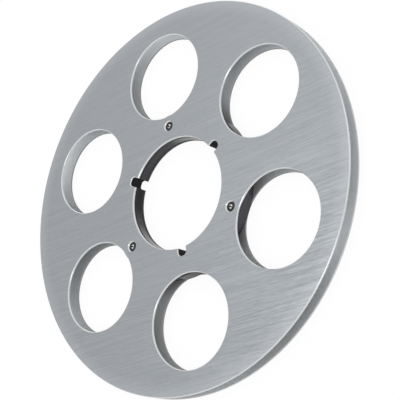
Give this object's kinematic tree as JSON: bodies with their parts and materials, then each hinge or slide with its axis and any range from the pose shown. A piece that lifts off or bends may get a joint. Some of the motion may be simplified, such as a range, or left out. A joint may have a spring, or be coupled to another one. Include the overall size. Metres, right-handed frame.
{
  "type": "audio tape reel",
  "caption": "Empty open-reel tape reel: flat metal flanges with round windows, screwed to a hub ring whose centre hole has keyways.",
  "frame": {"origin": "on the reel's axis, at the rear flange's outer face, where the reel lies flat", "axes": "+Z along the reel's axis towards the front face; -Y through front_screw_1; the keyways stand at -30, 90 and 210 degrees from +X"},
  "size_m": [0.265, 0.265, 0.011],
  "materials": {
    "flange": "straight-brushed, clear",
    "hub": "black anodised, satin",
    "screw": "blackened steel"
  },
  "bodies": {
    "root": {"front_flange": "flange", "rear_flange": "flange", "hub": "hub", "front_screw_1": "screw", "front_screw_2": "screw", "front_screw_3": "screw", "rear_screw_1": "screw", "rear_screw_2": "screw", "rear_screw_3": "screw"}
  },
  "joints": []
}
